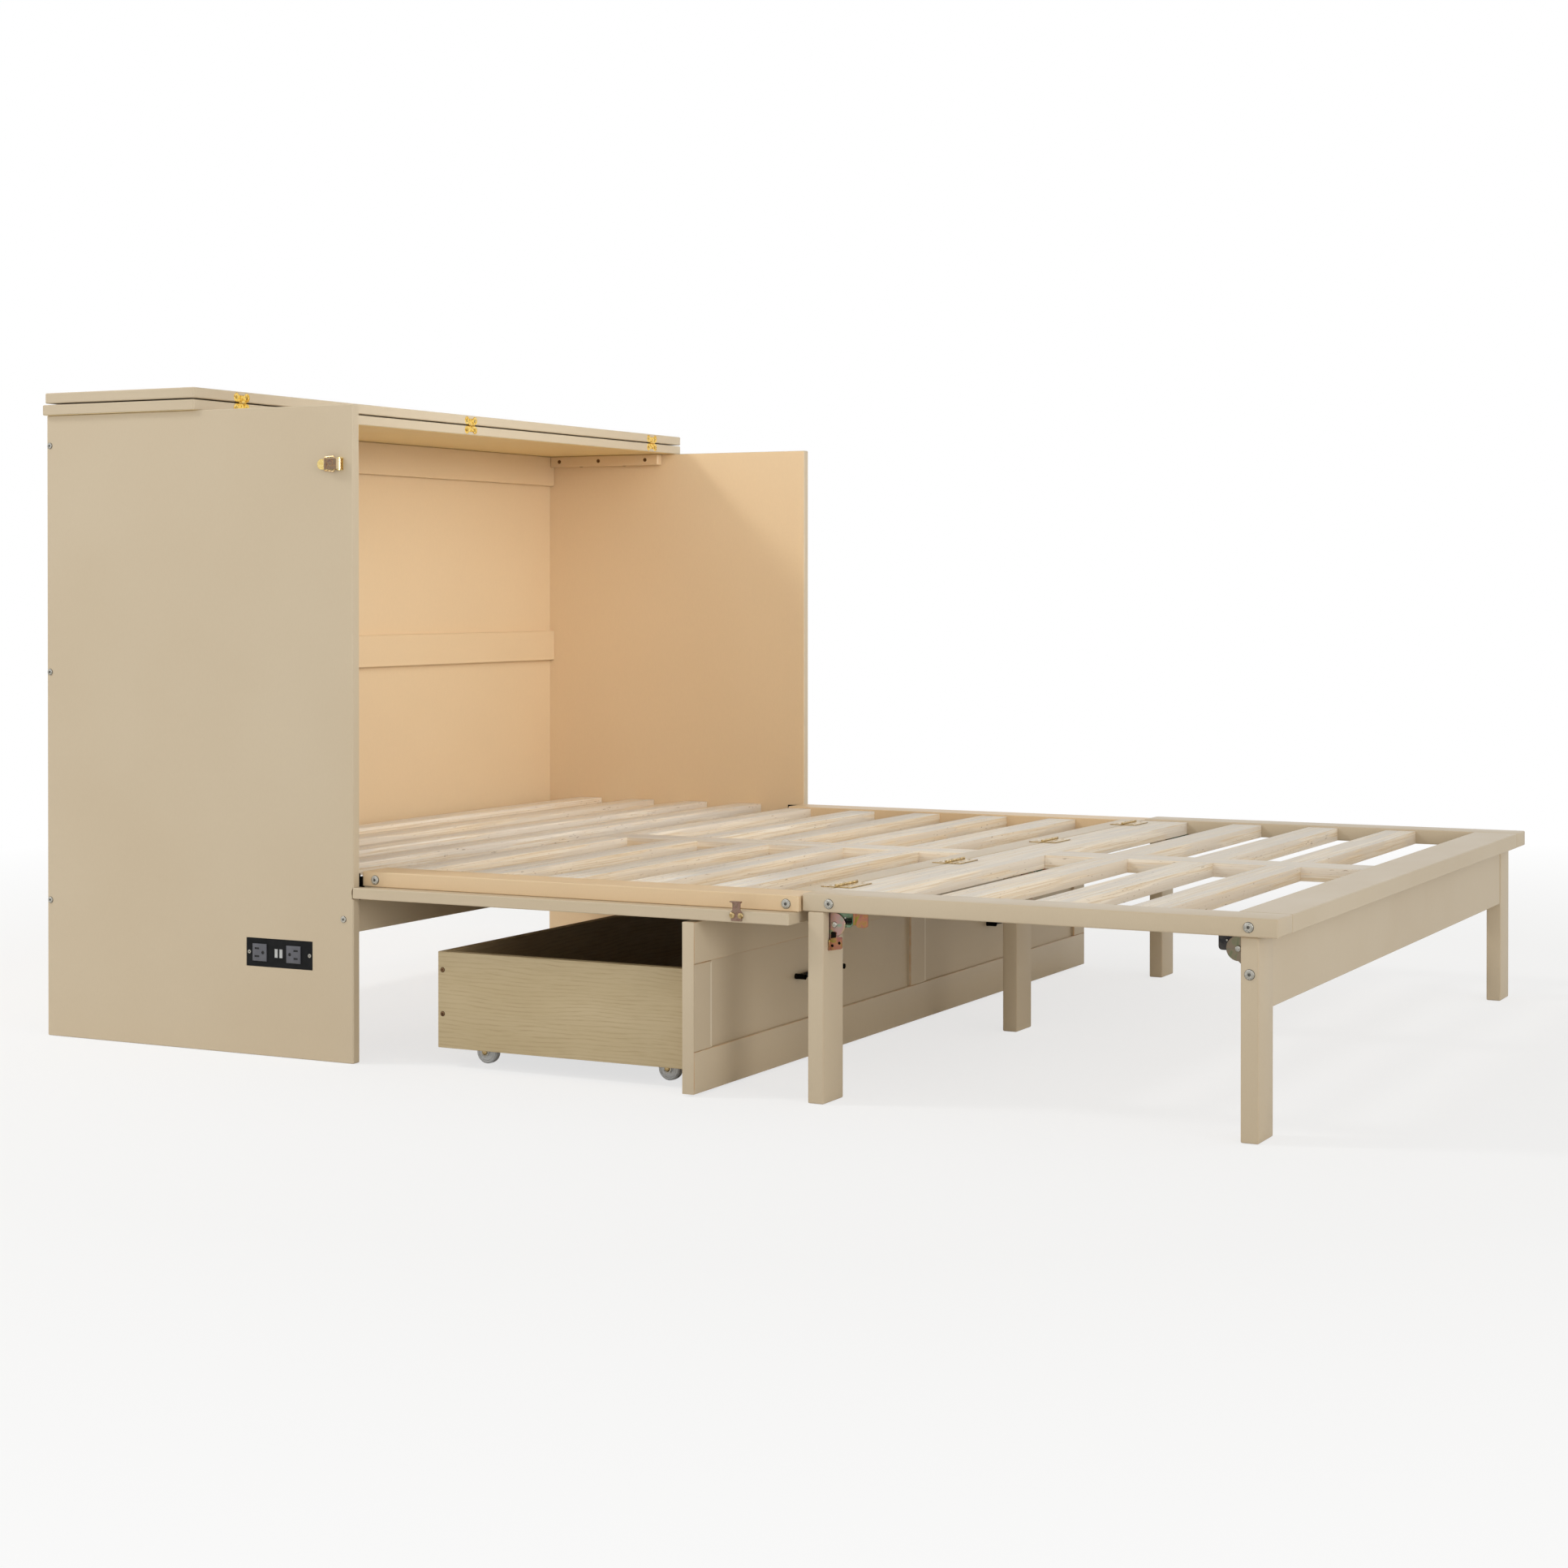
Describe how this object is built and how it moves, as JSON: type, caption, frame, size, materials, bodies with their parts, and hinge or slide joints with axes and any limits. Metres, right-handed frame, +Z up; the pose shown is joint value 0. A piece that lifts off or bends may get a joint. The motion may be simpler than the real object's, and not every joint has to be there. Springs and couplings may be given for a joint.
{
  "type": "murphy cabinet bed",
  "caption": "Cabinet bed drawn open: hinged top, side latches, door that lowers as a slatted frame, folding foot section on drop-down legs, roll-out drawer on castors.",
  "frame": {"origin": "on the floor, in the middle of the open bed's outline", "axes": "+X across the bed, to the right seen from the foot; +Y along the bed to the wall; +Z up"},
  "size_m": [1.6476, 2.151, 1.0928],
  "materials": {
    "painted_board": "satin beige paint",
    "inner_board": "satin warm beige paint",
    "bare_wood": "sawn, unfinished",
    "drawer_board": "wood-grain foil",
    "steel": "zinc plated",
    "dark_steel": "dark",
    "brass": "plated",
    "outlet_plastic": "black",
    "wheel_plastic": "grey"
  },
  "bodies": {
    "cabinet": {"side_panel_left": "painted_board", "side_panel_right": "painted_board", "back_panel": "inner_board", "back_rail_lower": "inner_board", "back_rail_middle": "inner_board", "back_rail_upper": "inner_board", "front_cross_rail": "painted_board", "top_cleat_left": "inner_board", "top_cleat_right": "inner_board", "platform_laths": "bare_wood", "top_panel_rear": "painted_board", "outlet_panel": "outlet_plastic", "top_hinge_rear_leaf_1": "brass", "top_hinge_rear_leaf_2": "brass", "top_hinge_rear_leaf_3": "brass", "door_pivot_plate_left": "dark_steel", "door_pivot_plate_right": "dark_steel", "latch_base_left": "steel", "latch_base_right": "steel"},
    "top_leaf": {"top_panel_front": "painted_board", "top_hinge_front_leaf_1": "brass", "top_hinge_front_leaf_2": "brass", "top_hinge_front_leaf_3": "brass"},
    "door_section": {"door_panel": "painted_board", "middle_rail_left": "painted_board", "middle_rail_right": "painted_board", "middle_laths": "bare_wood", "middle_end_board": "painted_board", "door_pivot_arm_left": "dark_steel", "door_pivot_arm_right": "dark_steel", "strike_left": "steel", "strike_right": "steel"},
    "foot_section": {"foot_rail_left": "painted_board", "foot_rail_right": "painted_board", "foot_laths": "bare_wood", "foot_board": "painted_board"},
    "middle_leg_left": {"middle_leg_left": "painted_board"},
    "middle_leg_centre": {"middle_leg_centre": "painted_board"},
    "middle_leg_right": {"middle_leg_right": "painted_board"},
    "foot_leg_frame": {"foot_leg_left": "painted_board", "foot_leg_right": "painted_board", "foot_apron": "painted_board"},
    "drawer": {"drawer_front": "painted_board", "drawer_side_left": "drawer_board", "drawer_side_right": "drawer_board", "drawer_back": "drawer_board", "drawer_bottom": "drawer_board", "drawer_handle_left": "dark_steel", "drawer_handle_right": "dark_steel"},
    "wheel_back_left": {"castor_wheel_back_left": "wheel_plastic"},
    "wheel_back_right": {"castor_wheel_back_right": "wheel_plastic"},
    "wheel_front_left": {"castor_wheel_front_left": "wheel_plastic"},
    "wheel_front_right": {"castor_wheel_front_right": "wheel_plastic"},
    "latch_lever_left": {"latch_lever_left": "brass"},
    "latch_bail_left": {"latch_bail_left": "steel"},
    "latch_lever_right": {"latch_lever_right": "brass"},
    "latch_bail_right": {"latch_bail_right": "steel"}
  },
  "joints": [
    {"name": "door_hinge", "type": "hinge", "parent": "cabinet", "child": "door_section", "pos_m": [0, 0.42625, 0.27375], "axis": [-1, 0, 0], "range_deg": [0, 90]},
    {"name": "fold_hinge", "type": "hinge", "parent": "door_section", "child": "foot_section", "pos_m": [0, -0.3515, 0.31], "axis": [-1, 0, 0], "range_deg": [0, 180]},
    {"name": "middle_leg_left_fold", "type": "hinge", "parent": "foot_section", "child": "middle_leg_left", "pos_m": [-0.749, -0.3975, 0.264], "axis": [-1, 0, 0], "range_deg": [0, 90]},
    {"name": "middle_leg_centre_fold", "type": "hinge", "parent": "foot_section", "child": "middle_leg_centre", "pos_m": [0, -0.3975, 0.264], "axis": [-1, 0, 0], "range_deg": [0, 90]},
    {"name": "middle_leg_right_fold", "type": "hinge", "parent": "foot_section", "child": "middle_leg_right", "pos_m": [0.749, -0.3975, 0.264], "axis": [-1, 0, 0], "range_deg": [0, 90]},
    {"name": "foot_leg_frame_fold", "type": "hinge", "parent": "foot_section", "child": "foot_leg_frame", "pos_m": [0, -1.012, 0.264], "axis": [1, 0, 0], "range_deg": [0, 90]},
    {"name": "drawer_slide", "type": "slide", "parent": "cabinet", "child": "drawer", "axis": [0, -1, 0], "range_m": [-0.6015, 0.13]},
    {"name": "wheel_back_left_spin", "type": "hinge", "parent": "drawer", "child": "wheel_back_left", "pos_m": [-0.705, 0.2478, 0.019], "axis": [1, 0, 0], "continuous": true},
    {"name": "wheel_back_right_spin", "type": "hinge", "parent": "drawer", "child": "wheel_back_right", "pos_m": [0.705, 0.2478, 0.019], "axis": [1, 0, 0], "continuous": true},
    {"name": "wheel_front_left_spin", "type": "hinge", "parent": "drawer", "child": "wheel_front_left", "pos_m": [-0.705, -0.0872, 0.019], "axis": [1, 0, 0], "continuous": true},
    {"name": "wheel_front_right_spin", "type": "hinge", "parent": "drawer", "child": "wheel_front_right", "pos_m": [0.705, -0.0872, 0.019], "axis": [1, 0, 0], "continuous": true},
    {"name": "latch_lever_left_swing", "type": "hinge", "parent": "cabinet", "child": "latch_lever_left", "pos_m": [-0.8188, 0.4575, 0.96], "axis": [0, 0, 1], "range_deg": [0, 140]},
    {"name": "latch_bail_left_swing", "type": "hinge", "parent": "latch_lever_left", "child": "latch_bail_left", "pos_m": [-0.8203, 0.4655, 0.96], "axis": [0, 0, -1], "range_deg": [-186, 0]},
    {"name": "latch_lever_right_swing", "type": "hinge", "parent": "cabinet", "child": "latch_lever_right", "pos_m": [0.8188, 0.4575, 0.96], "axis": [0, 0, -1], "range_deg": [0, 140]},
    {"name": "latch_bail_right_swing", "type": "hinge", "parent": "latch_lever_right", "child": "latch_bail_right", "pos_m": [0.8203, 0.4655, 0.96], "axis": [0, 0, 1], "range_deg": [-186, 0]},
    {"name": "top_leaf_hinge", "type": "hinge", "parent": "cabinet", "child": "top_leaf", "pos_m": [0, 0.7491, 1.07405], "axis": [1, 0, 0], "range_deg": [0, 180]}
  ]
}
